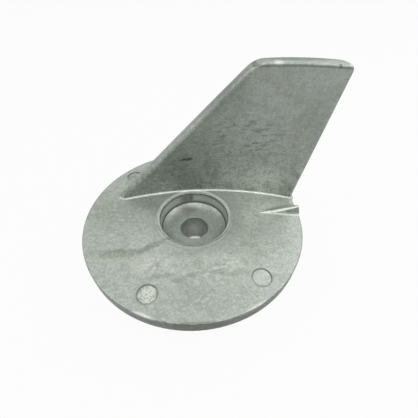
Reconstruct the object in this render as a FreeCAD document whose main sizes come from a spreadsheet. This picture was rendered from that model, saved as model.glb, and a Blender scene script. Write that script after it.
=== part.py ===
import FreeCAD, Part
import Sketcher
import os

# Trim tab anode: one die casting, with a round base disc, a bolt boss behind it, a counterbored bolt
# pocket in front and a tall swept fin that stands beside the pocket.
# Millimetres. Origin: centre of the bolt hole, on the end face of the boss. +Z runs along the bolt from
# the boss towards the fin, +X runs aft to the index pointer, and +Y runs from the pocket to the fin.

# Driving dimensions, in millimetres, with angles in degrees
SIZES = {
    "disc_diameter": 80.5,
    "disc_thickness": 5.0,
    "rim_round": 0.4,
    "boss_wall": 4.5,
    "boss_length": 14.4,
    "boss_draft": 2.0,
    "boss_root_round": 2.0,
    "boss_end_round": 0.8,
    "pocket_diameter": 25.7,
    "pocket_depth": 6.5,
    "pocket_draft": 5.0,
    "pocket_corner_round": 0.6,
    "pocket_lip_width": 1.15,
    "pocket_lip_drop": 0.25,
    "pocket_lip_round": 0.3,
    "pocket_slope_width": 2.2,
    "pocket_slope_rise": 1.6,
    "pocket_slope_round": 6.0,
    "bolt_hole_diameter": 10.8,
    "bolt_hole_chamfer": 0.2,
    "fin_height": 48.5,
    "root_lip_overlap": 0.5,
    "nose_setback": 10.45,
    "nose_sweep": 45.6,
    "tail_setback": 0.55,
    "tail_rake": 11.3,
    "root_camber": 5.5,
    "root_toe": 1.6,
    "root_nose_thickness": 3.9,
    "root_middle_thickness": 9.5,
    "root_tail_thickness": 7.0,
    "tip_lean": 1.85,
    "tip_camber": 1.6,
    "tip_toe": 4.2,
    "tip_nose_thickness": 4.6,
    "tip_middle_thickness": 5.7,
    "tip_tail_thickness": 5.7,
    "nose_corner_round": 8.0,
    "tail_far_round": 4.5,
    "tail_top_round": 1.8,
    "fin_edge_round": 0.9,
    "nose_root_round": 1.7,
    "fin_root_round": 0.85,
    "foot_land": 0.15,
    "foot_blend_round": 5.0,
    "pointer_length": 15.5,
    "pointer_height": 2.5,
    "pointer_width": 5.8,
    "pointer_crest_width": 1.0,
    "pointer_skirt_width": 0.45,
    "pointer_skirt_height": 0.17,
    "pointer_bearing": 2.0,
    "mark_diameter": 6.3,
    "mark_depth": 0.25,
    "mark_rim_inset": 6.45,
    "nose_mark_rim_inset": 5.6,
    "near_mark_bearing": 244.0,
    "aft_mark_bearing": 308.0,
    "nose_mark_bearing": 136.0,
    "nick_ball_radius": 1.5,
    "nick_depth": 0.4,
    "nick_bearing": 256.6,
}

# Shares that only shape the construction: how deep what is fused on is sunk into the disc, how far a
# cutter overruns what it cuts, and how much of a wall two roundings may take between them
SUNK_SHARE = 0.5
OVERRUN = 1.0
ROUND_SHARE = 0.45

# Heights and places that follow from the driving dimensions
PLACES = {
    "axis": "0",
    "disc_radius": "sizes.disc_diameter / 2",
    "disc_back": "sizes.boss_length",
    "disc_top": "disc_back + sizes.disc_thickness",
    "fin_top": "disc_top + sizes.fin_height",
    "pocket_radius": "sizes.pocket_diameter / 2",
    "pocket_floor": "disc_top - sizes.pocket_depth",
    "boss_root_radius": "pocket_radius + sizes.boss_wall",
    "boss_end_radius": "boss_root_radius - sizes.boss_length * tan(sizes.boss_draft)",
    "hole_radius": "sizes.bolt_hole_diameter / 2",
    "chamfer_radius": "hole_radius + sizes.bolt_hole_chamfer",
    "chamfer_bottom": "pocket_floor - sizes.bolt_hole_chamfer",
    "slope_top": "pocket_floor + sizes.pocket_slope_rise",
    "lip_floor": "disc_top - sizes.pocket_lip_drop",
    "lip_radius": "pocket_radius + sizes.pocket_lip_width",
    "corner_radius": "pocket_radius - (lip_floor - slope_top) * tan(sizes.pocket_draft)",
    "seat_radius": "corner_radius - sizes.pocket_slope_width",
    "cutter_bottom": f"-{OVERRUN}",
    "cutter_top": f"disc_top + {OVERRUN}",
    "sunk_depth": f"sizes.disc_thickness * {SUNK_SHARE}",
    "sunk_height": "disc_top - sunk_depth",
    "low_level": "-sizes.disc_thickness / sizes.fin_height",
    "sunk_level": "-sunk_depth / sizes.fin_height",
    "high_level": f"1 + {OVERRUN} / sizes.fin_height",
    "fin_over": f"fin_top + {OVERRUN}",
    "foot_margin": "sizes.fin_root_round + sizes.foot_land",
    "foot_near_round": "foot_margin + sizes.fin_edge_round",
    "foot_far_round": "foot_margin + sizes.tail_far_round",
    "fin_stand_off": "lip_radius + sizes.fin_root_round - sizes.root_lip_overlap",
    "nose_reach": "disc_radius - sizes.nose_setback",
    "tail_reach": "disc_radius - sizes.tail_setback",
    "mark_circle_radius": "disc_radius - sizes.mark_rim_inset",
    "nose_mark_circle_radius": "disc_radius - sizes.nose_mark_rim_inset",
    "mark_floor": "disc_top - sizes.mark_depth",
    "nick_stand_off": "(sizes.nick_ball_radius - sizes.nick_depth) * sin(45)",
    "pointer_rise": "sizes.pointer_height / sizes.pointer_length",
    "pointer_flank": "(sizes.pointer_width - sizes.pointer_crest_width) / 2 / sizes.pointer_height",
}


def add_fin_ends(stem, level, past):
    """Where the fin's nose and tail are at a level, which is 0 at the disc's top face and 1 at the fin's
    top, and a little past them"""
    rise = f"{level} * sizes.fin_height"
    PLACES[f"{stem}_nose_x"] = f"{rise} * tan(sizes.nose_sweep) - nose_reach - {past}"
    PLACES[f"{stem}_tail_x"] = f"tail_reach + {rise} * tan(sizes.tail_rake) + {past}"


def add_fin_section(stem, level, past, grow):
    """Corners of a level section of the fin, which may run past its ends and stand out at its sides"""
    add_fin_ends(stem, level, past)
    nose, tail, half = f"{stem}_nose_x", f"{stem}_tail_x", f"{stem}_half_length"
    PLACES[f"{stem}_middle_x"] = f"({nose} + {tail}) / 2"
    PLACES[half] = f"({tail} - {nose}) / 2"

    def graded(root, tip):
        """A size that changes evenly from the root to the tip"""
        return f"({root} + ({tip} - {root}) * {level})"

    camber = graded("sizes.root_camber", "sizes.tip_camber")
    toe = graded("sizes.root_toe", "sizes.tip_toe")
    middle_thickness = graded("sizes.root_middle_thickness", "sizes.tip_middle_thickness")
    crown = f"(fin_stand_off + sizes.tip_lean * {level})"
    turn = f"{half} * tan({toe})"
    PLACES[f"{stem}_middle_near_y"] = f"{crown} - {grow}"
    PLACES[f"{stem}_middle_far_y"] = f"{crown} + {middle_thickness} + {grow}"
    for end, side_turn in (("nose", turn), ("tail", f"-{turn}")):
        end_thickness = graded(f"sizes.root_{end}_thickness", f"sizes.tip_{end}_thickness")
        far_bow = f"({camber} + {middle_thickness} - {end_thickness})"
        for side, bow, middle in (("near", camber, "middle_near_y"), ("far", far_bow, "middle_far_y")):
            run_out = f"(1 + {past} * 2 / {half})"
            PLACES[f"{stem}_{end}_{side}_y"] = f"{stem}_{middle} - {bow} * {run_out} + {side_turn}"


def add_pointer_section(stem, distance):
    """Corners of an upright section of the index pointer, at a distance outside its tip: a rounded crest,
    steep flanks down to a knee, and a narrow skirt that flares out onto the disc"""
    share = f"(({distance}) / sizes.pointer_length)"
    half_crest = f"sizes.pointer_crest_width / 2 * (1 + ({share} - 1) * {CREST_TAPER})"
    PLACES[f"{stem}_x"] = f"disc_radius - sizes.pointer_length + ({distance})"
    PLACES[f"{stem}_crest_z"] = f"disc_top + ({distance}) * pointer_rise"
    PLACES[f"{stem}_crest_right"] = half_crest
    PLACES[f"{stem}_shoulder_z"] = f"{stem}_crest_z - {stem}_crest_right * {CREST_SHARE} * {share}"
    PLACES[f"{stem}_knee_z"] = f"disc_top + sizes.pointer_skirt_height * {share}"
    PLACES[f"{stem}_knee_right"] = (
        f"{stem}_crest_right + ({stem}_shoulder_z - {stem}_knee_z) * pointer_flank"
    )
    PLACES[f"{stem}_skirt_right"] = f"{stem}_knee_right + sizes.pointer_skirt_width * {share}"
    PLACES[f"{stem}_skirt_z"] = "disc_top"
    PLACES[f"{stem}_base_right"] = f"{stem}_skirt_right"
    PLACES[f"{stem}_base_z"] = "sunk_height"
    for corner in ("crest", "knee", "skirt", "base"):
        PLACES[f"{stem}_{corner}_left"] = f"-{stem}_{corner}_right"


# The pointer's crest narrows to this share less at its tip, and at the rim it is rounded by this share of
# its half width. The wedge starts this far outside its tip, where it is next to nothing high
CREST_TAPER = 0.8
CREST_SHARE = 0.5
TIP_GAP = 0.5

add_fin_section("low", "low_level", OVERRUN, "0")
add_fin_section("high", "high_level", OVERRUN, "0")
add_fin_section("foot", "0", "foot_margin", "foot_margin")
add_fin_ends("sunk", "sunk_level", "0")
add_fin_ends("tip", "1", "0")
add_pointer_section("point", f"{TIP_GAP}")
add_pointer_section("butt", f"sizes.pointer_length + {OVERRUN}")

doc = FreeCAD.newDocument("trim_tab_anode")


def add_sheet(name, contents):
    """A sheet with a label, a value and an alias on each row"""
    sheet = doc.addObject("Spreadsheet::Sheet", name)
    for row, (word, content) in enumerate(contents.items(), start=1):
        sheet.set(f"A{row}", word.replace("_", " "))
        sheet.set(f"B{row}", content)
        sheet.setAlias(f"B{row}", word)
    doc.recompute()
    return sheet


sizes = add_sheet("sizes", {word: str(number) for word, number in SIZES.items()})
places = add_sheet("places", {word: "=" + formula for word, formula in PLACES.items()})

ORIGIN = (-1, 1)
START, END = 1, 2
CLOSE = 1e-4
FULL_TURN = 360.0


def size(word):
    return float(sizes.get(word))


def place(word):
    """The number that a place's formula gives"""
    return float(places.get(word))


def point_of(across_word, up_word):
    return FreeCAD.Vector(place(across_word), place(up_word), 0)


def new_body(name):
    return doc.addObject("PartDesign::Body", name)


def new_sketch(body, name, role, height=None):
    """A sketch on one of the body's own origin planes, moved off it by a place where one is given"""
    sketch = body.newObject("Sketcher::SketchObject", name)
    plane = next(feature for feature in body.Origin.OriginFeatures if feature.Role == role)
    sketch.AttachmentSupport = [(plane, "")]
    sketch.MapMode = "FlatFace"
    if height:
        sketch.setExpression("AttachmentOffset.Base.z", f"places.{height}")
    return sketch


def pin(sketch, geometry, vertex, across_word, up_word):
    """Hold a vertex at two places, measured from the sketch's origin"""
    for direction, word in (("DistanceX", across_word), ("DistanceY", up_word)):
        held = Sketcher.Constraint(direction, *ORIGIN, geometry, vertex, place(word))
        index = sketch.addConstraint(held)
        sketch.setExpression(f"Constraints[{index}]", f"places.{word}")


def add_line(sketch, corners):
    return sketch.addGeometry(Part.LineSegment(*corners), False)


def add_bow(sketch, stations):
    """An arc, anticlockwise through three stations, each a pair of places"""
    arc = sketch.addGeometry(Part.Arc(*[point_of(*station) for station in stations]), False)
    middle = sketch.addGeometry(Part.Point(point_of(*stations[1])), True)
    pin(sketch, arc, START, *stations[0])
    pin(sketch, middle, START, *stations[1])
    pin(sketch, arc, END, *stations[2])
    sketch.addConstraint(Sketcher.Constraint("PointOnObject", middle, START, arc))
    return arc


def fin_section(body, stem, height):
    """A closed level section of the fin: two bowed sides and two blunt ends"""
    sketch = new_sketch(body, f"{stem}_section", "XY_Plane", height)
    sides = []
    for side in ("near", "far"):
        names = [f"{stem}_{station}" for station in ("tail", "middle", "nose")]
        sides.append(add_bow(sketch, [(f"{name}_x", f"{name}_{side}_y") for name in names]))
    for vertex, end in ((START, "tail"), (END, "nose")):
        ends = [point_of(f"{stem}_{end}_x", f"{stem}_{end}_{side}_y") for side in ("near", "far")]
        line = add_line(sketch, ends)
        for line_vertex, side in zip((START, END), sides):
            sketch.addConstraint(Sketcher.Constraint("Coincident", line, line_vertex, side, vertex))
    return sketch


def pointer_section(body, stem):
    """A closed upright section of the pointer: a rounded crest, flanks, skirts and a sunk base"""
    sketch = new_sketch(body, f"{stem}_section", "YZ_Plane", f"{stem}_x")

    def corner(name, side):
        height = "shoulder" if name == "crest" else name
        return f"{stem}_{name}_{side}", f"{stem}_{height}_z"

    top = ("axis", f"{stem}_crest_z")
    crest = add_bow(sketch, [corner("crest", "right"), top, corner("crest", "left")])
    descent = ("crest", "knee", "skirt", "base")
    around = [corner(name, "right") for name in descent]
    around += [corner(name, "left") for name in reversed(descent)]
    sides = [add_line(sketch, [point_of(*start), point_of(*end)]) for start, end in zip(around, around[1:])]
    sketch.addConstraint(Sketcher.Constraint("Coincident", crest, START, sides[0], START))
    for side, next_side, held in zip(sides, sides[1:], around[1:]):
        sketch.addConstraint(Sketcher.Constraint("Coincident", side, END, next_side, START))
        pin(sketch, side, END, *held)
    sketch.addConstraint(Sketcher.Constraint("Coincident", sides[-1], END, crest, END))
    return sketch


def add_loft(body, name, sections):
    loft = body.newObject("PartDesign::AdditiveLoft", name)
    loft.Profile = sections[0]
    loft.Sections = sections[1:]
    loft.Ruled = True
    doc.recompute()
    return loft


def add_polygon(sketch, corners):
    """A closed polygon through corners, each a pair of places"""
    following = corners[1:] + corners[:1]
    lines = [add_line(sketch, [point_of(*start), point_of(*end)]) for start, end in zip(corners, following)]
    for line, next_line, corner in zip(lines, lines[1:] + lines[:1], following):
        sketch.addConstraint(Sketcher.Constraint("Coincident", line, END, next_line, START))
        pin(sketch, line, END, *corner)


def turn_outline(body, name, outline):
    """A full turn about Z of a closed outline of corners, each a pair of a radius and a height"""
    sketch = new_sketch(body, f"{name}_outline", "XZ_Plane")
    add_polygon(sketch, outline)
    turned = body.newObject("PartDesign::Revolution", name)
    turned.Profile = sketch
    turned.ReferenceAxis = (sketch, ["V_Axis"])
    turned.Angle = FULL_TURN
    doc.recompute()
    return turned


def lies_at(edge, axis, value):
    """Whether both ends of an edge have this value along an axis, 0 for X to 2 for Z"""
    return all(abs(vertex.Point[axis] - value) < CLOSE for vertex in edge.Vertexes)


def middle_of(edge):
    return edge.valueAt((edge.FirstParameter + edge.LastParameter) / 2)


def spans(edge, low_word, high_word):
    """Whether an edge runs from one place along X to the other"""
    reaches = sorted(vertex.Point.x for vertex in edge.Vertexes)
    return abs(reaches[0] - place(low_word)) < CLOSE and abs(reaches[-1] - place(high_word)) < CLOSE


def is_upright(edge):
    if edge.Degenerated or edge.Curve.TypeId != "Part::GeomLine":
        return False
    return abs(edge.Curve.Direction.z) > 1 - CLOSE


def is_seam(shape, edge):
    """Whether an edge is only where a turned face closes on itself"""
    return any(edge.isSeam(face) for face in shape.ancestorsOfType(edge, Part.Face))


def is_ring(edge, radius, height):
    """Whether an edge is a circle about Z of this radius at this height"""
    if edge.Degenerated or edge.Curve.TypeId != "Part::GeomCircle" or not lies_at(edge, 2, height):
        return False
    curve = edge.Curve
    return abs(curve.Radius - radius) < CLOSE and abs(curve.Center.x) + abs(curve.Center.y) < CLOSE


def among(edges):
    """A test for whether an edge is one of these"""
    return lambda edge: any(edge.isSame(one) for one in edges)


def round_off(body, base, name, radius, wanted):
    """Round the edges of the base that are wanted, with the radius that an expression gives"""
    feature = body.newObject("PartDesign::Fillet", name)
    chosen = [f"Edge{index}" for index, edge in enumerate(base.Shape.Edges, start=1) if wanted(edge)]
    feature.Base = (base, chosen)
    feature.setExpression("Radius", radius)
    doc.recompute()
    return feature


def round_edges(base, name, size_word, wanted):
    """Round the edges of the base that are wanted, with one of the driving dimensions as the radius"""
    rounded = doc.addObject("Part::Fillet", name)
    rounded.Base = base
    radius = size(size_word)
    chosen = [index for index, edge in enumerate(base.Shape.Edges, start=1) if wanted(edge)]
    rounded.Edges = [(index, radius, radius) for index in chosen]
    doc.recompute()
    return rounded


def make_disc():
    """The base disc with the bolt boss behind it, turned in one piece"""
    body = new_body("disc_and_boss")
    outline = [
        ("axis", "axis"),
        ("boss_end_radius", "axis"),
        ("boss_root_radius", "disc_back"),
        ("disc_radius", "disc_back"),
        ("disc_radius", "disc_top"),
        ("axis", "disc_top"),
    ]
    turned = turn_outline(body, "disc_turned", outline)

    def on_boss_root(edge):
        return is_ring(edge, place("boss_root_radius"), place("disc_back"))

    def on_boss_end(edge):
        return is_ring(edge, place("boss_end_radius"), place("axis"))

    root = round_off(body, turned, "boss_root_rounded", "sizes.boss_root_round", on_boss_root)
    round_off(body, root, "boss_end_rounded", "sizes.boss_end_round", on_boss_end)
    return body


def make_blade():
    """The fin before its long edges are eased: a cambered, tapered blade, cut to its outline as it is seen
    from the side, with a swept nose, a raked tail and two rounded top corners"""
    blade = new_body("blade_stock")
    levels = (("low", "disc_back"), ("high", "fin_over"))
    add_loft(blade, "blade_lofted", [fin_section(blade, stem, height) for stem, height in levels])

    outline = new_body("side_outline")
    sketch = new_sketch(outline, "outline_sketch", "XZ_Plane")
    corners = [
        ("sunk_nose_x", "sunk_height"),
        ("sunk_tail_x", "sunk_height"),
        ("tip_tail_x", "fin_top"),
        ("tip_nose_x", "fin_top"),
    ]
    add_polygon(sketch, corners)
    pad = outline.newObject("PartDesign::Pad", "outline_pad")
    pad.Profile = sketch
    pad.Midplane = True
    pad.setExpression("Length", "sizes.disc_diameter")
    doc.recompute()

    def on_top_nose(edge):
        return lies_at(edge, 2, place("fin_top")) and lies_at(edge, 0, place("tip_nose_x"))

    round_off(outline, pad, "nose_corner", "sizes.nose_corner_round", on_top_nose)
    trimmed = doc.addObject("Part::Common", "blade_trimmed")
    trimmed.Base = blade
    trimmed.Tool = outline
    doc.recompute()

    def on_far_tail(edge):
        return spans(edge, "sunk_tail_x", "tip_tail_x") and middle_of(edge).y > place("high_middle_near_y")

    return round_edges(trimmed, "fin_blade", "tail_far_round", on_far_tail)


def ease_blade(blade):
    """Ease the long edges of both sides. The rounding of the nose's two edges grows towards the root, and
    from their upper ends it runs on at its small radius over the top and down the tail"""
    shape = blade.Shape
    far_reach = place("high_middle_near_y")
    root_round = min(size("nose_root_round"), size("root_nose_thickness") * ROUND_SHARE)
    edge_round = min(size("fin_edge_round"), size("tip_nose_thickness") * ROUND_SHARE)
    top_round = size("tail_top_round")
    chosen = []
    for index, edge in enumerate(shape.Edges, start=1):
        ends = [edge.valueAt(edge.FirstParameter), edge.valueAt(edge.LastParameter)]
        ends_low = [abs(end.x - place("sunk_nose_x")) < CLOSE for end in ends]
        on_side_of_nose = sum(ends_low) == 1 and not lies_at(edge, 2, place("sunk_height"))
        on_tail = spans(edge, "sunk_tail_x", "tip_tail_x") and middle_of(edge).y < far_reach
        on_top_of_tail = lies_at(edge, 2, place("fin_top")) and lies_at(edge, 0, place("tip_tail_x"))
        if on_side_of_nose:
            chosen.append((index, *[root_round if low else edge_round for low in ends_low]))
        elif on_tail:
            chosen.append((index, edge_round, edge_round))
        elif on_top_of_tail:
            chosen.append((index, top_round, top_round))
    eased = doc.addObject("Part::Fillet", "fin")
    eased.Base = blade
    eased.Edges = chosen
    doc.recompute()
    return eased


def make_foot():
    """The pad that carries the fin's root rounding past the disc's rim, under the fin's tail"""
    body = new_body("fin_foot")
    section = fin_section(body, "foot", "disc_back")
    pad = body.newObject("PartDesign::Pad", "foot_pad")
    pad.Profile = section
    pad.setExpression("Length", "sizes.disc_thickness")
    doc.recompute()

    def on_tail_side(side):
        def wanted(edge):
            return is_upright(edge) and lies_at(edge, 0, place("foot_tail_x")) and lies_at(
                edge, 1, place(f"foot_tail_{side}_y")
            )
        return wanted

    near = round_off(body, pad, "foot_near_corner", "places.foot_near_round", on_tail_side("near"))
    round_off(body, near, "foot_far_corner", "places.foot_far_round", on_tail_side("far"))
    return body


def make_base():
    """The disc and the fin's foot in one, blended into each other and with the rim rounded"""
    united = fuse("disc_with_foot", [make_disc(), make_foot()])

    def in_rim_corner(edge):
        reach = FreeCAD.Vector(edge.CenterOfMass.x, edge.CenterOfMass.y, 0).Length
        at_rim = abs(reach - place("disc_radius")) < CLOSE
        return is_upright(edge) and at_rim and not is_seam(united.Shape, edge)

    blended = round_edges(united, "foot_blended", "foot_blend_round", in_rim_corner)
    levels = (place("disc_back"), place("disc_top"))
    outer = [
        edge for face in blended.Shape.Faces if face.Surface.TypeId == "Part::GeomPlane"
        for level in levels if abs(face.CenterOfMass.z - level) < CLOSE
        for edge in face.OuterWire.Edges
    ]
    return round_edges(blended, "rim_rounded", "rim_round", among(outer))


def make_pointer():
    """The index pointer: a wedge that rises from its tip to the rim, cut off flush with the rim"""
    body = new_body("pointer_wedge")
    add_loft(body, "wedge_lofted", [pointer_section(body, "point"), pointer_section(body, "butt")])
    turn = FreeCAD.Rotation(FreeCAD.Vector(0, 0, 1), size("pointer_bearing"))
    body.Placement = FreeCAD.Placement(FreeCAD.Vector(), turn)
    body.setExpression("Placement.Rotation.Angle", "sizes.pointer_bearing")
    rim = doc.addObject("Part::Cylinder", "rim_cylinder")
    rim.setExpression("Radius", "places.disc_radius")
    rim.setExpression("Height", "places.fin_top")
    pointer = doc.addObject("Part::Common", "index_pointer")
    pointer.Base = body
    pointer.Tool = rim
    doc.recompute()
    return pointer


def make_pocket_cutter():
    """What the bolt pocket and the bolt hole take away"""
    body = new_body("pocket_cutter")
    outline = [
        ("axis", "cutter_bottom"),
        ("hole_radius", "cutter_bottom"),
        ("hole_radius", "chamfer_bottom"),
        ("chamfer_radius", "pocket_floor"),
        ("seat_radius", "pocket_floor"),
        ("corner_radius", "slope_top"),
        ("pocket_radius", "lip_floor"),
        ("lip_radius", "disc_top"),
        ("lip_radius", "cutter_top"),
        ("axis", "cutter_top"),
    ]
    turned = turn_outline(body, "pocket_turned", outline)

    def on_seat_edge(edge):
        return is_ring(edge, place("seat_radius"), place("pocket_floor"))

    def on_corner(edge):
        return is_ring(edge, place("corner_radius"), place("slope_top"))

    seat = round_off(body, turned, "seat_blended", "sizes.pocket_slope_round", on_seat_edge)
    round_off(body, seat, "corner_rounded", "sizes.pocket_corner_round", on_corner)
    return body


def polar_place(feature, radius, bearing, height):
    """Put a cutter on the disc, at a radius and a bearing from the bolt's axis"""
    feature.setExpression("Placement.Base.x", f"({radius}) * cos({bearing})")
    feature.setExpression("Placement.Base.y", f"({radius}) * sin({bearing})")
    feature.setExpression("Placement.Base.z", height)


def make_mark_cutter(stem, circle_radius):
    """The shallow round print of one ejector pin"""
    cutter = doc.addObject("Part::Cylinder", f"{stem}_cutter")
    cutter.setExpression("Radius", "sizes.mark_diameter / 2")
    cutter.setExpression("Height", "2 * sizes.mark_depth")
    polar_place(cutter, f"places.{circle_radius}", f"sizes.{stem}_bearing", "places.mark_floor")
    return cutter


def make_nick_cutter():
    """The small nick that a knock has left in the rim's top edge"""
    cutter = doc.addObject("Part::Sphere", "nick_cutter")
    cutter.setExpression("Radius", "sizes.nick_ball_radius")
    polar_place(
        cutter,
        "places.disc_radius + places.nick_stand_off",
        "sizes.nick_bearing",
        "places.disc_top + places.nick_stand_off",
    )
    return cutter


def fuse(name, pieces):
    fused = doc.addObject("Part::MultiFuse", name)
    fused.Shapes = pieces
    fused.Refine = True
    doc.recompute()
    return fused


def round_root(base):
    """The rounding where the fin grows out of the disc, all the way round it"""
    level_faces = [
        face for face in base.Shape.Faces
        if face.Surface.TypeId == "Part::GeomPlane" and abs(face.CenterOfMass.z - place("disc_top")) < CLOSE
    ]
    top = max(level_faces, key=lambda face: face.Area)
    root = [edge for wire in top.Wires if not wire.isSame(top.OuterWire) for edge in wire.Edges]
    return round_edges(base, "root_rounded", "fin_root_round", among(root))


def round_lip(base):
    """The rounding between the pocket's wall and its shallow lip, and with it the whole casting"""
    return round_edges(
        base, "anode_casting", "pocket_lip_round",
        lambda edge: is_ring(edge, place("pocket_radius"), place("lip_floor")),
    )


def make_casting():
    blank = fuse("blank", [make_base(), ease_blade(make_blade())])
    with_pointer = fuse("with_pointer", [round_root(blank), make_pointer()])
    marks = [make_mark_cutter(stem, "mark_circle_radius") for stem in ("near_mark", "aft_mark")]
    marks.append(make_mark_cutter("nose_mark", "nose_mark_circle_radius"))
    cutters = fuse("cutters", [make_pocket_cutter(), make_nick_cutter(), *marks])
    cut = doc.addObject("Part::Cut", "pocket_cut")
    cut.Base = with_pointer
    cut.Tool = cutters
    doc.recompute()
    casting = round_lip(cut)
    casting.Label = "anode_casting"
    return casting


def check_document(pieces):
    """Stop if any object has failed, a step has come out empty or a piece has no valid solid"""
    for feature in doc.Objects:
        if {"Invalid", "Error"} & set(feature.State):
            raise RuntimeError(f"{feature.Label} failed: {feature.State}")
        if feature.TypeId.startswith("Part::") and not feature.Shape.Solids:
            raise RuntimeError(f"{feature.Label} is empty")
    for piece in pieces:
        if piece.Shape.isNull() or not piece.Shape.isValid() or len(piece.Shape.Solids) != 1:
            raise RuntimeError(f"{piece.Label} has no single valid solid")


pieces = [make_casting()]
check_document(pieces)
os.makedirs("parts", exist_ok=True)
for piece in pieces:
    piece.Shape.exportStep(f"parts/{piece.Label}.step")
    box = piece.Shape.optimalBoundingBox()
    print(f"{piece.Label}: {box.XLength:.2f} x {box.YLength:.2f} x {box.ZLength:.2f} mm, "
          f"{piece.Shape.Volume:.0f} cubic mm, {len(piece.Shape.Faces)} faces")
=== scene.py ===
# %% [markdown]
# # A trim tab anode, dressed for its photograph
# The anode is one die casting. It is bolted under an outboard motor, where it corrodes in place of the
# gear case. The imported CAD model already has its whole shape, down to the ejector-pin prints and the nick
# in the rim. What is left to do here is the skin that the die, the oxide and some handling have given it,
# with some painted light and shade laid into its colour, and the camera and light of the photograph.

# %% Load the CAD frame
import bpy
import math
from mathutils import Matrix, Vector

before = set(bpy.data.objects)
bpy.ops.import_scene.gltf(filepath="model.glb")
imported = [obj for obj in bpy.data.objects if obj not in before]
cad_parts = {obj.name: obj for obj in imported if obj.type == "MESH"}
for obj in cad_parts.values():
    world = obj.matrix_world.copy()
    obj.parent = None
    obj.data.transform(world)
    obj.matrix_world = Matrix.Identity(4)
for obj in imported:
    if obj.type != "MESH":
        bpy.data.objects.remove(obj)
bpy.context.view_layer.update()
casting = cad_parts["anode_casting"]

# %% [markdown]
# ## Sizes
# Every length here is in millimetres, as a caliper would give it, and turns to metres in one place.
# These few are the CAD model's own. They are repeated because stains and dirt sit on its features, such
# as the round prints of the three ejector pins: one near the camera, one aft and one by the fin's nose.

# %% Sizes of the casting
MILLIMETRE = 0.001
DISC_TOP = 19.4
DISC_RADIUS = 40.25
POCKET_RADIUS = 12.85
POCKET_FLOOR = 12.9
FIN_TOP = 67.9
PRINT_RADIUS = 3.15
PRINT_MIDDLES = {
    "near": (-14.82, -30.38, DISC_TOP),
    "aft": (20.81, -26.63, DISC_TOP),
    "nose": (-24.93, 24.07, DISC_TOP),
}
print(f"disc {2 * DISC_RADIUS:.1f} mm across, its top face {DISC_TOP:.1f} mm above the floor")


def metres(*lengths):
    """A vector in metres from lengths in millimetres"""
    return Vector([length * MILLIMETRE for length in lengths])


# %% [markdown]
# ## The camera
# A camera is found from a picture by matching a few known rings: here the disc's rim, the pocket's mouth
# and the hole. They fit best from close by, so that the fin leans out towards the top of the picture. The
# camera looks at the middle of the disc's top face and is then turned a little about its own axes,
# because the photographer didn't centre the anode.

# %% Camera
PICTURE_WIDTH = 418
SENSOR_WIDTH = 36.0
FOCAL_PIXELS = 270.4
CAMERA_DISTANCE = 102.57
CAMERA_RISE = math.radians(48.47)
CAMERA_TILT = math.radians(-1.44)
CAMERA_PAN = math.radians(-3.20)
CAMERA_ROLL = math.radians(-1.89)
CLIP_START = 5.0


def camera_matrix():
    """The camera's place and axes in the part's frame"""
    target = Vector((0, 0, DISC_TOP))
    away = Vector((0, -math.cos(CAMERA_RISE), math.sin(CAMERA_RISE)))
    forward = -away
    right = Vector((1, 0, 0))
    down = forward.cross(right)
    aimed = Matrix((right, down, forward))
    turn = Matrix.Rotation(CAMERA_ROLL, 3, "Z") @ Matrix.Rotation(CAMERA_PAN, 3, "Y")
    turn = turn @ Matrix.Rotation(CAMERA_TILT, 3, "X")
    across, picture_down, depth = turn @ aimed
    axes = Matrix((across, -picture_down, -depth)).transposed()
    return Matrix.Translation(metres(*(target + away * CAMERA_DISTANCE))) @ axes.to_4x4()


camera_data = bpy.data.cameras.new("photo_camera")
camera_data.sensor_fit = "HORIZONTAL"
camera_data.sensor_width = SENSOR_WIDTH
camera_data.lens = FOCAL_PIXELS / PICTURE_WIDTH * SENSOR_WIDTH
camera_data.clip_start = CLIP_START * MILLIMETRE
camera = bpy.data.objects.new("photo_camera", camera_data)
camera.matrix_world = camera_matrix()
bpy.context.scene.collection.objects.link(camera)
bpy.context.scene.camera = camera
print(f"lens {camera_data.lens:.1f} mm, camera at", [round(value, 4) for value in camera.location])

# %% [markdown]
# ## Colours and nodes
# Colours are written as the hex values that an image editor shows, which are sRGB. Blender's shaders
# want linear light, so one function turns them. One more small function adds a node, sets it, links its
# inputs and hands back an output, so that a material reads as a list of what is laid on what.


# %% Helpers for materials
def linear(hex_colour):
    """An sRGB hex colour as linear red, green, blue and alpha"""
    channels = [int(hex_colour[start:start + 2], 16) / 255 for start in (1, 3, 5)]
    return [c / 12.92 if c <= 0.04045 else ((c + 0.055) / 1.055) ** 2.4 for c in channels] + [1.0]


def add_node(tree, kind, settings=None, output=0, **inputs):
    """Add a shader node and hand back one of its outputs. Settings are the node's own options. Each input
    is a number, a colour or another node's output, and is named by its label in lower case, or in_0, in_1
    and so on where labels repeat."""
    node = tree.nodes.new("ShaderNode" + kind)
    for name, value in (settings or {}).items():
        setattr(node, name, value)
    for name, value in inputs.items():
        if name.startswith("in_"):
            socket = node.inputs[int(name[3:])]
        else:
            socket = next(s for s in node.inputs if s.enabled and s.name.lower().replace(" ", "_") == name)
        if isinstance(value, bpy.types.NodeSocket):
            tree.links.new(value, socket)
        else:
            socket.default_value = value
    return node.outputs[output] if node.outputs else None


def empty_tree(data):
    """The node tree of a new material or world, with nothing in it"""
    data.use_nodes = True
    data.node_tree.nodes.clear()
    return data.node_tree


print("helpers ready")

# %% [markdown]
# ## How the skin is mapped
# Everything on the skin is laid out in Object coordinates, so that it stays put on the casting from
# whatever side it is seen. They are scaled to millimetres first, and then every pattern's width below is
# one that a rule would measure. A second, slightly shaken copy gives stains their ragged edges.

# %% Places on the casting, in millimetres
NOISE_MIDDLE = 0.5
NOISE_DETAIL = 3.0
SHAKE_WIDTH = 2.6
SHAKE = 2.2


def place_in_millimetres(tree):
    """Where a point is on the casting"""
    place = add_node(tree, "TexCoord", output="Object")
    return add_node(tree, "VectorMath", {"operation": "SCALE"}, vector=place, scale=1 / MILLIMETRE)


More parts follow.
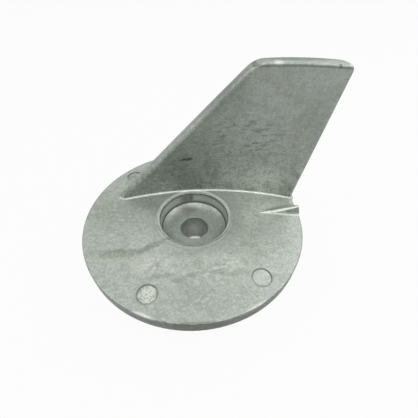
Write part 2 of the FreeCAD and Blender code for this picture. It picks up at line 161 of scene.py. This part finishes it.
def shaken(tree, place):
    """The same place, pushed about by up to a millimetre or so, for ragged edges"""
    push = add_node(
        tree, "TexNoise", output="Color", vector=place, scale=1 / SHAKE_WIDTH, detail=NOISE_DETAIL,
    )
    push = add_node(tree, "VectorMath", {"operation": "SUBTRACT"}, in_0=push, in_1=[NOISE_MIDDLE] * 3)
    push = add_node(tree, "VectorMath", {"operation": "SCALE"}, vector=push, scale=SHAKE)
    return add_node(tree, "VectorMath", {"operation": "ADD"}, in_0=place, in_1=push)


print("ragged edges wander every", SHAKE_WIDTH, "mm")

# %% [markdown]
# ## Masks
# A mask is a number from 0 to 1 that says how much of a layer shows at a point. The skin needs four
# kinds: mottling all over, which is noise with its greys stretched; a soft ellipsoid in one place, for
# stains and for painted light and shade; a ring, which is a band round a circle; and a level band right
# round the casting. Each is a few nodes, so each is a function. A last function lays a tint over the colour
# where its masks show.

# %% Masks for mottling, stains and painted light and shade
NO_TURN = (0, 0, 0)


def mottling(
    tree, place, width, low, high, detail=NOISE_DETAIL, roughness=0.55, stretch=(1, 1, 1), turn=0.0,
):
    """Noise about as wide as given, turned to 0 below the low level and 1 above the high one. It can be
    drawn out, and turned about Y."""
    drawn = add_node(tree, "Mapping", vector=place, rotation=(0, turn, 0), scale=stretch)
    noise = add_node(tree, "TexNoise", vector=drawn, scale=1 / width, detail=detail, roughness=roughness)
    return add_node(
        tree, "MapRange", {"interpolation_type": "SMOOTHSTEP"}, value=noise, from_min=low, from_max=high,
    )


def ellipsoid_mask(tree, place, middle, half_sizes, turns, edge):
    """A soft-edged ellipsoid, turned about X, Y and Z by angles in degrees. A larger edge is softer. It
    shapes stains, and painted light and shade too.
    """
    inside = add_node(
        tree, "Mapping", {"vector_type": "TEXTURE"},
        vector=place, location=middle, rotation=[math.radians(turn) for turn in turns], scale=half_sizes,
    )
    nearness = add_node(tree, "TexGradient", {"gradient_type": "SPHERICAL"}, output="Fac", vector=inside)
    return add_node(
        tree, "MapRange", {"interpolation_type": "SMOOTHSTEP"},
        value=nearness, from_min=0.0, from_max=edge,
    )


print("masks for mottling and stains ready")

# %% Masks for rings and level bands
# Over this share of its half width, a ring or band shows in full
FULL_SHARE = 0.3


def ring(tree, place, middle, radius, half_width, half_height):
    """A soft band round a circle about Z, which fades out above and below it"""
    offset = add_node(tree, "VectorMath", {"operation": "SUBTRACT"}, in_0=place, in_1=middle)
    level = add_node(tree, "VectorMath", {"operation": "MULTIPLY"}, in_0=offset, in_1=(1, 1, 0))
    reach = add_node(tree, "VectorMath", {"operation": "LENGTH"}, output="Value", vector=level)
    across = add_node(tree, "Math", {"operation": "SUBTRACT"}, in_0=reach, in_1=radius)
    across = add_node(tree, "Math", {"operation": "DIVIDE"}, in_0=across, in_1=half_width)
    height = add_node(tree, "SeparateXYZ", output="Z", vector=offset)
    height = add_node(tree, "Math", {"operation": "DIVIDE"}, in_0=height, in_1=half_height)
    nearness = add_node(tree, "CombineXYZ", x=across, y=height)
    nearness = add_node(tree, "VectorMath", {"operation": "LENGTH"}, output="Value", vector=nearness)
    return add_node(
        tree, "MapRange", {"interpolation_type": "SMOOTHSTEP"},
        value=nearness, from_min=1.0, from_max=FULL_SHARE,
    )


def band(tree, place, height, half_height):
    """A soft level band, all round the casting"""
    above = add_node(tree, "SeparateXYZ", output="Z", vector=place)
    above = add_node(tree, "Math", {"operation": "SUBTRACT"}, in_0=above, in_1=height)
    above = add_node(tree, "Math", {"operation": "ABSOLUTE"}, in_0=above)
    return add_node(
        tree, "MapRange", {"interpolation_type": "SMOOTHSTEP"},
        value=above, from_min=half_height, from_max=FULL_SHARE * half_height,
    )


print("masks for rings and bands ready")


# %% Laying a tint over the colour
def lay(tree, under, tint, strength, *masks):
    """Lay a tint over what is there, where every mask shows it and no more strongly than given"""
    share = strength
    for mask in masks:
        share = add_node(tree, "Math", {"operation": "MULTIPLY"}, in_0=mask, in_1=share)
    return add_node(tree, "Mix", {"data_type": "RGBA"}, output=2, in_0=share, in_6=under, in_7=tint)


print("layers ready")

# %% [markdown]
# ## The skin of a die casting
# The alloy is shot into a steel die under pressure. It comes out matt and cool grey, but never one even
# grey. The metal freezes in patches, the spray that frees it from the die leaves stains, and the first
# metal in leaves flow marks. So the colour is built as the real skin is: a base grey, broad patches a
# little warmer and cooler, leathery mottling a few millimetres wide, flow marks along the fin, and a
# fine grain from the die's own blasted texture. Each table below has a row for a layer, and the rows are
# laid from the first to the last.

# %% Greys and tints
CAST_GREY = "#9CA39C"
WARM_GREY = "#94988A"
COOL_GREY = "#96A29B"
# light flecks, and also painted light right of the pocket and low on the fin
LIGHT_FLECK_AND_PAINTED_LIGHT = "#C0C8C0"
DARK_FLECK = "#57625A"
SPRAY_OLIVE = "#676E56"
# soot, and also painted shade on the rim, in the pocket, on and behind the pointer and along the fin's top
SOOT_AND_PAINTED_SHADE = "#3E433E"
# painted shade: a grey laid where less light falls, beside the fin, on the disc's front, along the fin's
# edges and round the pocket
PAINTED_SHADE = "#7B827C"
# bare metal, and also painted light and painted highlights: right of the pocket, low on the fin, on the
# pointer, the pocket's wall, the hole's wall and the fin's foot
BARE_METAL_AND_PAINTED_LIGHT = "#C4C9BF"
# painted highlight, on the pocket's lip and the rim's corners
PAINTED_HIGHLIGHT = "#DCE0D8"
# burnt spray, and also painted shade, brown, on the rim in front and beside the fin's nose
BURNT_SPRAY_AND_PAINTED_SHADE = "#564F40"
print("the cast grey is", CAST_GREY)

# %% Broad patches
PATCH_WIDTH = 11.0
PATCH_DETAIL = 4.0
PATCHES = [
    # width, the noise's lowest and full level, tint, strength
    (PATCH_WIDTH, 0.48, 0.66, WARM_GREY, 0.5),
    (0.8 * PATCH_WIDTH, 0.52, 0.7, COOL_GREY, 0.7),
]


def lay_patches(tree, place):
    """The base grey, with broad patches a little warmer and cooler"""
    colour = linear(CAST_GREY)
    for width, low, high, tint, strength in PATCHES:
        patch = mottling(tree, place, width, low, high, PATCH_DETAIL)
        colour = lay(tree, colour, linear(tint), strength, patch)
    return colour


print("broad patches", PATCH_WIDTH, "mm wide")

# %% Where the skin is calm
# In calm places only this share of the mottling shows
CALM = 0.4
# Heights in millimetres, with an even change between them
CALM_ABOVE = 48.0
ROUGH_BELOW = 20.0
PRINT_HALF_SIZES = (PRINT_RADIUS, PRINT_RADIUS, 1.0)
PRINT_EDGE = 0.12
CALM_PLACES = [
    # middle, half sizes, turns, softness of the edge: the pocket with its lip, and the print that is aft
    ((0, 0, POCKET_FLOOR), (POCKET_RADIUS + 2, POCKET_RADIUS + 2, 8), NO_TURN, 0.1),
    (PRINT_MIDDLES["aft"], PRINT_HALF_SIZES, NO_TURN, PRINT_EDGE),
]


def rough_places(tree, place):
    """1 on the disc and low on the fin, and less high on the fin and in the calm places"""
    height = add_node(tree, "SeparateXYZ", output="Z", vector=place)
    rough = add_node(
        tree, "MapRange", value=height, from_min=CALM_ABOVE, from_max=ROUGH_BELOW, to_min=CALM, to_max=1.0,
    )
    for calm_place in CALM_PLACES:
        calm = ellipsoid_mask(tree, place, *calm_place)
        outside = add_node(tree, "MapRange", value=calm, to_min=1.0, to_max=CALM)
        rough = add_node(tree, "Math", {"operation": "MULTIPLY"}, in_0=rough, in_1=outside)
    return rough


print("the skin is calm above", CALM_ABOVE, "mm and in", len(CALM_PLACES), "places")

# %% Creases like those in leather
# middle, half sizes, turns, softness of the edge: the front middle of the disc
LEATHERY_PLACE = ((0, -22, DISC_TOP), (24, 12, 3), NO_TURN, 0.7)
CREASE_WIDTH = 5.0
CREASE_STRETCH = (0.7, 1.2, 1)
CREASE_NOISE = {"scale": 1 / CREASE_WIDTH, "detail": NOISE_DETAIL, "roughness": 0.6, "distortion": 1.0}
# A crease is drawn up to this far from the noise's middle level
CREASE_LEVELS = 0.03
# In the leathery place creases come and go: width, lowest and full level. Elsewhere this share shows
CREASE_SPREAD = (2 * CREASE_WIDTH, 0.4, 0.6)
CREASE_SHARE = 0.15
CREASE_STRENGTH = 0.7


def creases(tree, place):
    """Thin crooked lines, where a noise crosses its middle level"""
    drawn = add_node(tree, "Mapping", vector=place, scale=CREASE_STRETCH)
    noise = add_node(tree, "TexNoise", vector=drawn, **CREASE_NOISE)
    level = add_node(tree, "Math", {"operation": "SUBTRACT"}, in_0=noise, in_1=NOISE_MIDDLE)
    level = add_node(tree, "Math", {"operation": "ABSOLUTE"}, in_0=level)
    line = add_node(tree, "MapRange", value=level, from_min=CREASE_LEVELS, from_max=0.0)
    leathery = ellipsoid_mask(tree, place, *LEATHERY_PLACE)
    spread = mottling(tree, place, *CREASE_SPREAD)
    shown = add_node(tree, "MapRange", value=leathery, to_min=CREASE_SHARE, to_max=spread)
    return add_node(tree, "Math", {"operation": "MULTIPLY"}, in_0=line, in_1=shown)


print("creases about", CREASE_WIDTH, "mm apart")

# %% Flow marks on the fin
# width, lowest and full level
FLOW_DASHES = (1.0, 0.52, 0.66)
FLOW_STRETCH = (0.25, 1, 0.9)
FLOW_TURN = math.radians(-12)
FLOW_PLACE = ((18, 14, 44), (24, 8, 14), NO_TURN, 0.8)
FLOW_STRENGTH = 0.6


def flow_marks(tree, place):
    """Short dark dashes halfway up the fin, drawn out along the way that the metal ran"""
    dashes = mottling(tree, place, *FLOW_DASHES, stretch=FLOW_STRETCH, turn=FLOW_TURN)
    area = ellipsoid_mask(tree, place, *FLOW_PLACE)
    return add_node(tree, "Math", {"operation": "MULTIPLY"}, in_0=dashes, in_1=area)


print("flow marks", FLOW_DASHES[0], "mm wide and", FLOW_DASHES[0] / FLOW_STRETCH[0], "mm long")

# %% Mottling and grain
MOTTLE_WIDTH = 3.2
FLECK_WIDTH = 1.3
MOTTLES = [
    # width, lowest and full level, detail, roughness, where it shows, tint, strength
    (MOTTLE_WIDTH, 0.47, 0.6, 6.0, 0.62, "rough", DARK_FLECK, 0.38),
    (FLECK_WIDTH, 0.5, 0.6, 2.0, 0.55, "leathery", DARK_FLECK, 0.6),
    (1.6 * FLECK_WIDTH, 0.5, 0.58, 2.0, 0.55, "leathery", BARE_METAL_AND_PAINTED_LIGHT, 0.35),
    (FLECK_WIDTH, 0.5, 0.62, 4.0, 0.65, "rough", LIGHT_FLECK_AND_PAINTED_LIGHT, 0.4),
]
# The die's real grain is too fine to show at this size, so it is drawn coarser, as wide as it has to be
GRAIN_WIDTH = 0.55
GRAIN = [
    (GRAIN_WIDTH, 0.46, 0.62, 3.0, 0.55, "rough", DARK_FLECK, 0.48),
]


def lay_noise(tree, colour, place, layers, masks):
    """Lay layers of mottling over the colour, each under the mask of where it shows"""
    for width, low, high, detail, roughness, where, tint, strength in layers:
        pattern = mottling(tree, place, width, low, high, detail, roughness)
        colour = lay(tree, colour, linear(tint), strength, pattern, masks[where])
    return colour


def lay_mottling(tree, colour, place):
    """Lay mottling, creases, flow marks and grain over the colour"""
    masks = {"rough": rough_places(tree, place), "leathery": ellipsoid_mask(tree, place, *LEATHERY_PLACE)}
    colour = lay_noise(tree, colour, place, MOTTLES, masks)
    colour = lay(tree, colour, linear(SOOT_AND_PAINTED_SHADE), CREASE_STRENGTH, creases(tree, place))
    colour = lay(tree, colour, linear(DARK_FLECK), FLOW_STRENGTH, flow_marks(tree, place))
    return lay_noise(tree, colour, place, GRAIN, masks)


print("mottling", MOTTLE_WIDTH, "mm wide, flecks", FLECK_WIDTH, "mm, grain", GRAIN_WIDTH, "mm")

# %% [markdown]
# ## Stains, worn places, and painted light and shade
# Some marks sit in one place and tell the casting's story: release spray burnt on in a streak across the
# disc, a cold shut where two streams of metal met, soot in the pocket, a scuff on the fin, bare bright
# metal where the ejector pins pressed. Others are painted light and shade: painted shade where the fin
# shades the disc and on faces turned from the lamps, and painted light and highlights on faces and edges
# turned to them. Each is written as one line of where it is, how big, how strong and of what colour, so
# that they can be moved about as on a photograph.

# %% Stains, painted light and painted shade on the disc and the fin
STAINS_AND_PAINTED_LIGHT = [
    # middle, half sizes, turns about X, Y and Z, softness of the edge, tint, strength
    # the burnt streak left of the pocket, a brown spray patch darkened with painted shade behind it, and
    # painted shade where the fin shades the disc
    ((-26.8, -15.5, DISC_TOP), (10.5, 3.0, 2.0), (0, 0, -3), 0.7, SPRAY_OLIVE, 0.85),
    ((-15.5, -13.2, DISC_TOP), (9.0, 1.7, 2.0), (0, 0, 25), 0.6, SOOT_AND_PAINTED_SHADE, 0.6),
    ((-22.0, 5.5, DISC_TOP), (13.0, 4.6, 2.0), (0, 0, 8), 0.9, BURNT_SPRAY_AND_PAINTED_SHADE, 0.65),
    ((-23.0, 1.0, DISC_TOP), (17.0, 15.0, 2.0), (0, 0, 0), 1.0, PAINTED_SHADE, 0.85),
    # painted light right of the pocket, barer metal in front of it, and dirt in front
    ((27.0, 5.0, DISC_TOP), (11.0, 6.0, 2.0), (0, 0, 0), 1.0, BARE_METAL_AND_PAINTED_LIGHT, 0.7),
    ((-14.0, -20.0, DISC_TOP), (10.0, 5.0, 2.0), (0, 0, 8), 0.8, BARE_METAL_AND_PAINTED_LIGHT, 0.6),
    ((10.0, -21.0, DISC_TOP), (10.0, 5.5, 2.0), (0, 0, -5), 0.8, BARE_METAL_AND_PAINTED_LIGHT, 0.5),
    ((-3.0, -16.2, DISC_TOP), (10.0, 2.6, 2.0), (0, 0, 0), 0.8, SOOT_AND_PAINTED_SHADE, 0.4),
    ((-2.0, -31.0, DISC_TOP), (9.0, 7.0, 2.0), (0, 0, 0), 0.9, SOOT_AND_PAINTED_SHADE, 0.35),
    # an olive tint on the disc's left, painted light on its right, painted shade on its front, and an olive
    # spot right of the pocket
    ((-33.0, 5.0, DISC_TOP), (12.0, 13.0, 2.0), (0, 0, 15), 1.0, SPRAY_OLIVE, 0.65),
    ((23.0, -1.0, DISC_TOP), (12.0, 9.0, 2.0), (0, 0, 0), 1.0, LIGHT_FLECK_AND_PAINTED_LIGHT, 0.85),
    ((5.0, -34.0, DISC_TOP), (36.0, 12.0, 2.0), (0, 0, 8), 1.0, PAINTED_SHADE, 0.7),
    ((18.0, -13.7, DISC_TOP), (3.2, 1.8, 2.0), (0, 0, 0), 1.0, SPRAY_OLIVE, 0.5),
    # on the fin: a dark spot and a scuff, spray stains higher up, and painted light low down
    ((-2.0, 13.5, 35.5), (3.0, 4.0, 1.0), (0, -8, 0), 0.5, SOOT_AND_PAINTED_SHADE, 0.85),
    ((14.5, 14.5, 48.6), (0.45, 3.0, 0.6), (0, 0, 0), 0.6, SOOT_AND_PAINTED_SHADE, 0.95),
    ((15.5, 15.0, 57.0), (7.0, 5.0, 10.0), (0, 0, 0), 1.0, SPRAY_OLIVE, 0.3),
    ((41.0, 15.0, 52.0), (6.0, 5.0, 12.0), (0, 0, 0), 1.0, SPRAY_OLIVE, 0.35),
    ((30.0, 14.0, 24.0), (20.0, 9.0, 14.0), (0, 0, 0), 0.9, BARE_METAL_AND_PAINTED_LIGHT, 0.95),
    ((12.0, 14.0, 26.0), (12.0, 7.0, 9.0), (0, 0, 0), 1.0, LIGHT_FLECK_AND_PAINTED_LIGHT, 0.5),
    # painted shade along its leading edge and its tail, a worn spot on its top and a dark one further aft
    ((11.0, 17.0, 58.5), (16.0, 7.0, 5.0), (0, -48, 0), 1.0, PAINTED_SHADE, 1.0),
    ((42.0, 15.0, 44.0), (28.0, 6.0, 2.4), (0, -75, 0), 1.0, PAINTED_SHADE, 0.6),
    ((26.6, 17.0, FIN_TOP), (1.8, 3.0, 1.2), (0, 0, 0), 0.7, BARE_METAL_AND_PAINTED_LIGHT, 0.95),
    ((44.8, 15.4, 66.9), (0.7, 1.2, 1.0), (0, 0, 0), 0.6, SOOT_AND_PAINTED_SHADE, 0.8),
]


def lay_marks_and_painted_light(tree, colour, place, stains):
    """Lay each entry of a list, stains and painted light and shade alike, over the colour"""
    for middle, half_sizes, turns, edge, tint, strength in stains:
        mask = ellipsoid_mask(tree, place, middle, half_sizes, turns, edge)
        colour = lay(tree, colour, linear(tint), strength, mask)
    return colour


# the count takes in the patches of painted light and painted shade
print(len(STAINS_AND_PAINTED_LIGHT), "stains and worn places")

# %% Lines laid over the mottling
LINES = [
    # the same columns: the streak's dark edge
    ((-23.0, -14.6, DISC_TOP), (8.0, 1.0, 2.0), (0, 0, 0), 0.5, SOOT_AND_PAINTED_SHADE, 0.5),
    ((-14.0, -12.6, DISC_TOP), (9.0, 1.1, 2.0), (0, 0, 25), 0.5, SOOT_AND_PAINTED_SHADE, 0.5),
    # the crooked line in front where two streams of metal met
    ((-11.5, -24.8, DISC_TOP), (6.5, 1.2, 2.0), (0, 0, 8), 0.5, SOOT_AND_PAINTED_SHADE, 0.42),
    ((-6.8, -25.6, DISC_TOP), (4.0, 1.8, 2.0), (0, 0, -30), 0.7, SOOT_AND_PAINTED_SHADE, 0.4),
    ((-2.0, -25.0, DISC_TOP), (7.0, 1.0, 2.0), (0, 0, 16), 0.5, SOOT_AND_PAINTED_SHADE, 0.42),
    ((7.5, -24.3, DISC_TOP), (6.0, 1.0, 2.0), (0, 0, -14), 0.5, SOOT_AND_PAINTED_SHADE, 0.35),
    ((13.5, -24.6, DISC_TOP), (4.5, 0.9, 2.0), (0, 0, 4), 0.5, SOOT_AND_PAINTED_SHADE, 0.25),
    ((-2.5, -29.5, DISC_TOP), (1.2, 5.0, 2.0), (0, 0, 12), 0.6, SOOT_AND_PAINTED_SHADE, 0.25),
]
print(len(LINES), "dark lines")

# %% Fine marks, painted light and painted shade with clean edges
FINE_MARKS = [
    # the same columns: painted shade on the pointer's near flank and on the disc behind it, and painted
    # highlights along its crest and foot
    ((37.0, 0.0, 20.4), (10.5, 1.1, 3.0), (0, 0, -1), 0.4, SOOT_AND_PAINTED_SHADE, 0.6),
    ((33.4, 3.3, 20.0), (8.5, 0.8, 2.5), (0, 0, 13), 0.6, SOOT_AND_PAINTED_SHADE, 0.45),
    ((36.5, 1.0, 21.4), (11.0, 0.5, 3.0), (0, 0, 5), 0.3, BARE_METAL_AND_PAINTED_LIGHT, 0.8),
    ((35.0, -0.8, 19.5), (10.5, 0.45, 0.9), (0, 0, -7.6), 0.3, BARE_METAL_AND_PAINTED_LIGHT, 0.85),
    # burnt spray at the back of the pocket, and painted light on the middle of the hole's wall
    ((-3.4, 12.3, 16.8), (4.0, 2.4, 3.6), (0, 0, 0), 1.0, SPRAY_OLIVE, 0.75),
    ((-0.9, 12.6, 16.8), (1.6, 2.0, 3.4), (0, 0, 0), 1.0, SOOT_AND_PAINTED_SHADE, 0.7),
    ((-2.5, 9.8, 13.5), (6.0, 3.4, 2.0), (0, 0, 0), 1.0, BURNT_SPRAY_AND_PAINTED_SHADE, 0.7),
    ((0.0, 5.4, 5.0), (5.0, 3.0, 8.0), (0, 0, 0), 1.0, BARE_METAL_AND_PAINTED_LIGHT, 0.75),
    # painted shade on the rim in front, brown lower down, and painted highlights on its corner to either
    # side
    ((-1.0, -41.2, 17.5), (22.0, 2.3, 5.5), (0, 0, 0), 0.3, SOOT_AND_PAINTED_SHADE, 0.5),
    ((-4.0, -41.2, 16.8), (14.0, 2.3, 4.4), (0, 0, 0), 0.6, BURNT_SPRAY_AND_PAINTED_SHADE, 0.9),
    ((-15.4, -36.7, DISC_TOP), (5.0, 0.7, 1.2), (0, 0, -23), 0.8, PAINTED_HIGHLIGHT, 0.65),
    ((17.5, -35.7, DISC_TOP), (5.5, 0.8, 1.2), (0, 0, 26), 0.8, PAINTED_HIGHLIGHT, 0.35),
    # painted shade on the far half of the fin's top face and along its leading edge
    ((35.0, 20.3, FIN_TOP), (18.0, 3.0, 1.0), (0, 0, 0), 0.4, SOOT_AND_PAINTED_SHADE, 0.5),
    ((9.6, 15.5, 59.2), (11.0, 3.0, 0.55), (0, -49, 0), 0.7, SOOT_AND_PAINTED_SHADE, 0.5),
]
print(len(FINE_MARKS), "fine marks")

# %% [markdown]
# ## Prints and rings
# The three ejector pins have left round prints, each in a ring of dirt. The pins are polished, so a print
# is brighter than the skin round it, the near one most. Shade is painted in the pocket's corners, under its
# lip, on the rim and under the fin's top edge. The disc is painted a little darker in a wide ring round the
# pocket, the pocket's wall is painted lighter, and painted highlights run along its lip and the fin's foot.

# %% Bright ejector prints
# How bare the metal of each print is
PRINT_BARENESS = {"near": 0.95, "aft": 0.55, "nose": 0.2}


def lay_prints(tree, colour, place):
    """Lay the ejector pins' bright prints over the colour"""
    for name, bareness in PRINT_BARENESS.items():
        disc = ellipsoid_mask(tree, place, PRINT_MIDDLES[name], PRINT_HALF_SIZES, NO_TURN, PRINT_EDGE)
        colour = lay(tree, colour, linear(BARE_METAL_AND_PAINTED_LIGHT), bareness, disc)
    return colour


print(len(PRINT_BARENESS), "ejector prints")

# %% Rings and bands of dirt, painted light and painted shade
PRINT_RINGS = [(middle, PRINT_RADIUS, 0.45, 0.6, SOOT_AND_PAINTED_SHADE, 0.55) for middle in PRINT_MIDDLES.values()]
RINGS = PRINT_RINGS + [
    # middle, radius, half width, half height, tint, strength
    # round the pocket's mouth: a wide ring of painted shade, a thin line of painted shade, and a painted
    # highlight on the lip
    ((0, 0, DISC_TOP), POCKET_RADIUS + 3.4, 2.6, 1.0, PAINTED_SHADE, 0.4),
    ((0, 0, DISC_TOP), POCKET_RADIUS + 2.2, 0.5, 0.5, SOOT_AND_PAINTED_SHADE, 0.25),
    ((0, 0.7, DISC_TOP), POCKET_RADIUS + 0.5, 0.8, 0.6, PAINTED_HIGHLIGHT, 0.6),
    # in the pocket: painted light on its wall, painted shade just under the lip, and painted shade and dirt
    # in the corner
    ((0, 0, DISC_TOP - 2.6), POCKET_RADIUS, 1.0, 2.4, BARE_METAL_AND_PAINTED_LIGHT, 0.95),
    ((0, 0, DISC_TOP - 0.5), POCKET_RADIUS, 0.35, 0.4, SOOT_AND_PAINTED_SHADE, 0.8),
    ((0, 0, POCKET_FLOOR + 1.7), POCKET_RADIUS - 0.5, 0.5, 0.5, SOOT_AND_PAINTED_SHADE, 0.8),
    # painted shade on the rim
    ((0, 0, DISC_TOP - 2.5), DISC_RADIUS, 1.0, 3.3, SOOT_AND_PAINTED_SHADE, 0.8),
]
BANDS = [
    # height, half height, tint, strength: a painted highlight along the fin's foot, and painted shade under
    # its top edge
    (DISC_TOP + 0.3, 0.45, BARE_METAL_AND_PAINTED_LIGHT, 0.6),
    (FIN_TOP - 0.85, 0.55, SOOT_AND_PAINTED_SHADE, 0.5),
]


def lay_rings(tree, colour, place):
    """Lay every ring and band of dirt, painted light and painted shade over the colour"""
    for middle, radius, half_width, half_height, tint, strength in RINGS:
        mask = ring(tree, place, middle, radius, half_width, half_height)
        colour = lay(tree, colour, linear(tint), strength, mask)
    for height, half_height, tint, strength in BANDS:
        colour = lay(tree, colour, linear(tint), strength, band(tree, place, height, half_height))
    return colour


print(len(RINGS), "rings and", len(BANDS), "bands")

# %% [markdown]
# ## The material
# Die-cast aluminium, as cast: a metal under a thin grey oxide, so its shine is broad and dull. A fully
# metallic shader would show only the room. Half metallic and half matt is nearer to the oxide. The bump
# is the die's texture and the leathery skin, less than a tenth of a millimetre deep. It isn't used for
# anything that a caliper could find: those forms are in the mesh. The colour is laid in layers: patches,
# stains, painted light and shade, and prints first, then the mottling, which shows through them all, and
# dirt, painted light, painted shade and painted highlights last.

# %% Material
SKIN_METALLIC = 0.5
SKIN_ROUGHNESS = (0.33, 0.47)
LEATHER_WIDTH = 1.5
LEATHER_DEPTH = 0.08
LEATHER_LEVELS = (0.3, 0.7)
GRAIN_DEPTH = 0.02
GRAIN_DETAIL = 2.0


def lay_colour(tree, place):
    """Every layer of the skin's colour, with ragged edges for the stains and lines"""
    ragged = shaken(tree, place)
    colour = lay_patches(tree, place)
    colour = lay_marks_and_painted_light(tree, colour, ragged, STAINS_AND_PAINTED_LIGHT)
    colour = lay_prints(tree, colour, place)
    colour = lay_mottling(tree, colour, place)
    colour = lay_marks_and_painted_light(tree, colour, ragged, LINES)
    colour = lay_rings(tree, colour, place)
    return lay_marks_and_painted_light(tree, colour, place, FINE_MARKS)


def make_cast_skin():
    """Die-cast aluminium alloy, as cast and lightly oxidised: matt, cool grey and mottled"""
    material = bpy.data.materials.new("die_cast_aluminium_as_cast")
    tree = empty_tree(material)
    place = place_in_millimetres(tree)
    leather = add_node(tree, "TexNoise", vector=place, scale=1 / LEATHER_WIDTH, detail=NOISE_DETAIL)
    grain = add_node(tree, "TexNoise", vector=place, scale=1 / GRAIN_WIDTH, detail=GRAIN_DETAIL)
    surface = add_node(tree, "Bump", strength=1.0, distance=LEATHER_DEPTH * MILLIMETRE, height=leather)
    surface = add_node(
        tree, "Bump", strength=1.0, distance=GRAIN_DEPTH * MILLIMETRE, height=grain, normal=surface,
    )
    dullness = add_node(
        tree, "MapRange", value=leather, from_min=LEATHER_LEVELS[0], from_max=LEATHER_LEVELS[1],
        to_min=SKIN_ROUGHNESS[0], to_max=SKIN_ROUGHNESS[1],
    )
    skin = add_node(
        tree, "BsdfPrincipled",
        base_color=lay_colour(tree, place), metallic=SKIN_METALLIC, roughness=dullness, normal=surface,
    )
    add_node(tree, "OutputMaterial", surface=skin)
    return material


cast_skin = make_cast_skin()
for material_slot in casting.material_slots:
    material_slot.material = cast_skin
print("material", cast_skin.name, "has", len(cast_skin.node_tree.nodes), "nodes")

# %% [markdown]
# ## Floor and light
# The floor is pale and fills the picture, and the camera sees it nearly white. It still takes the anode's
# soft shadow, and a shadow is painted on it under the bolt hole. Metal needs something to mirror, so what
# it reflects sees the same white. Soft lamps stand all round, as at a product table: they keep the disc's
# top bright, leave what stands upright darker, and draw a bright line along each rounded edge.

# %% What the camera and reflections see
WHITE = "#FFFFFF"


def seen_directly(tree):
    """1 for rays from the camera and for reflected or refracted ones, and 0 for light on the object"""
    seen = add_node(tree, "LightPath", output="Is Camera Ray")
    for kind in ("Is Glossy Ray", "Is Transmission Ray"):
        ray = add_node(tree, "LightPath", output=kind)
        seen = add_node(tree, "Math", {"operation": "MAXIMUM"}, in_0=seen, in_1=ray)
    return seen


print("white is for the camera and reflections only")

# %% Floor
FLOOR_SIZE = 3.0
FLOOR_COLOUR = "#C8C9C7"
FLOOR_WHITENESS = 0.95
# A shadow painted on the floor: it is dimmer under the bolt hole. Middle, half sizes, turns, softness of
# the edge
PAINTED_SHADOW_UNDER_HOLE = ((0, 0, 0), (14, 14, 14), NO_TURN, 0.3)
WHITENESS_IN_PAINTED_SHADOW = 0.45


def make_floor():
    """A pale studio floor, seen as white paper with a soft shadow on it and a painted shadow under the bolt
    hole
    """
    bpy.ops.mesh.primitive_plane_add(size=FLOOR_SIZE, location=(0, 0, 0))
    floor = bpy.context.object
    floor.name = "studio_floor"
    material = bpy.data.materials.new("white_paper_floor")
    tree = empty_tree(material)
    paper = add_node(tree, "BsdfDiffuse", color=linear(FLOOR_COLOUR))
    white = add_node(tree, "Emission", color=linear(WHITE), strength=1.0)
    # the painted shadow under the bolt hole
    under = ellipsoid_mask(tree, place_in_millimetres(tree), *PAINTED_SHADOW_UNDER_HOLE)
    whiteness = add_node(
        tree, "MapRange", value=under, to_min=FLOOR_WHITENESS, to_max=WHITENESS_IN_PAINTED_SHADOW,
    )
    share = add_node(tree, "Math", {"operation": "MULTIPLY"}, in_0=seen_directly(tree), in_1=whiteness)
    mixed = add_node(tree, "MixShader", in_0=share, in_1=paper, in_2=white)
    add_node(tree, "OutputMaterial", surface=mixed)
    floor.data.materials.append(material)


make_floor()
print("floor", FLOOR_SIZE, "m wide")

# %% World
SKY_LEVEL = 0.2


def make_world():
    """Plain white all round: full strength where it is seen, and dim where it lights the anode"""
    world = bpy.data.worlds.new("studio_white")
    tree = empty_tree(world)
    level = add_node(tree, "MapRange", value=seen_directly(tree), to_min=SKY_LEVEL, to_max=1.0)
    sky = add_node(tree, "Background", color=linear(WHITE), strength=level)
    add_node(tree, "OutputWorld", surface=sky)
    bpy.context.scene.world = world


make_world()
bpy.context.scene.view_settings.view_transform = "Standard"
print("sky level", SKY_LEVEL)

# %% Lamps
LAMP_DISTANCE = 800.0
LAMPS = {
    # bearing and rise in degrees, width in millimetres, power in watts
    "front_softbox": (-90, 70, 500, 1.65),
    "left_softbox": (180, 45, 500, 1.25),
    "right_softbox": (0, 45, 500, 2.2),
    "back_softbox": (90, 60, 500, 0.4),
    "back_right_softbox": (45, 45, 500, 0.8),
    "front_lamp": (-90, 40, 150, 0.95),
}


def add_softbox(name, bearing, rise, width, power):
    """A round soft lamp that looks at the anode from a bearing and a rise"""
    lamp_data = bpy.data.lights.new(name, "AREA")
    lamp_data.shape = "DISK"
    lamp_data.size = width * MILLIMETRE
    lamp_data.energy = power
    lamp = bpy.data.objects.new(name, lamp_data)
    aim = metres(0, 0, DISC_TOP)
    level = math.cos(math.radians(rise))
    direction = Vector((
        math.cos(math.radians(bearing)) * level,
        math.sin(math.radians(bearing)) * level,
        math.sin(math.radians(rise)),
    ))
    lamp.location = aim + direction * LAMP_DISTANCE * MILLIMETRE
    lamp.rotation_euler = direction.to_track_quat("Z", "Y").to_euler()
    bpy.context.scene.collection.objects.link(lamp)


for lamp_name, lamp_settings in LAMPS.items():
    add_softbox(lamp_name, *lamp_settings)
print(len(LAMPS), "lamps")

# %% [markdown]
# ## Finish

# %% Finish
print("scene built")
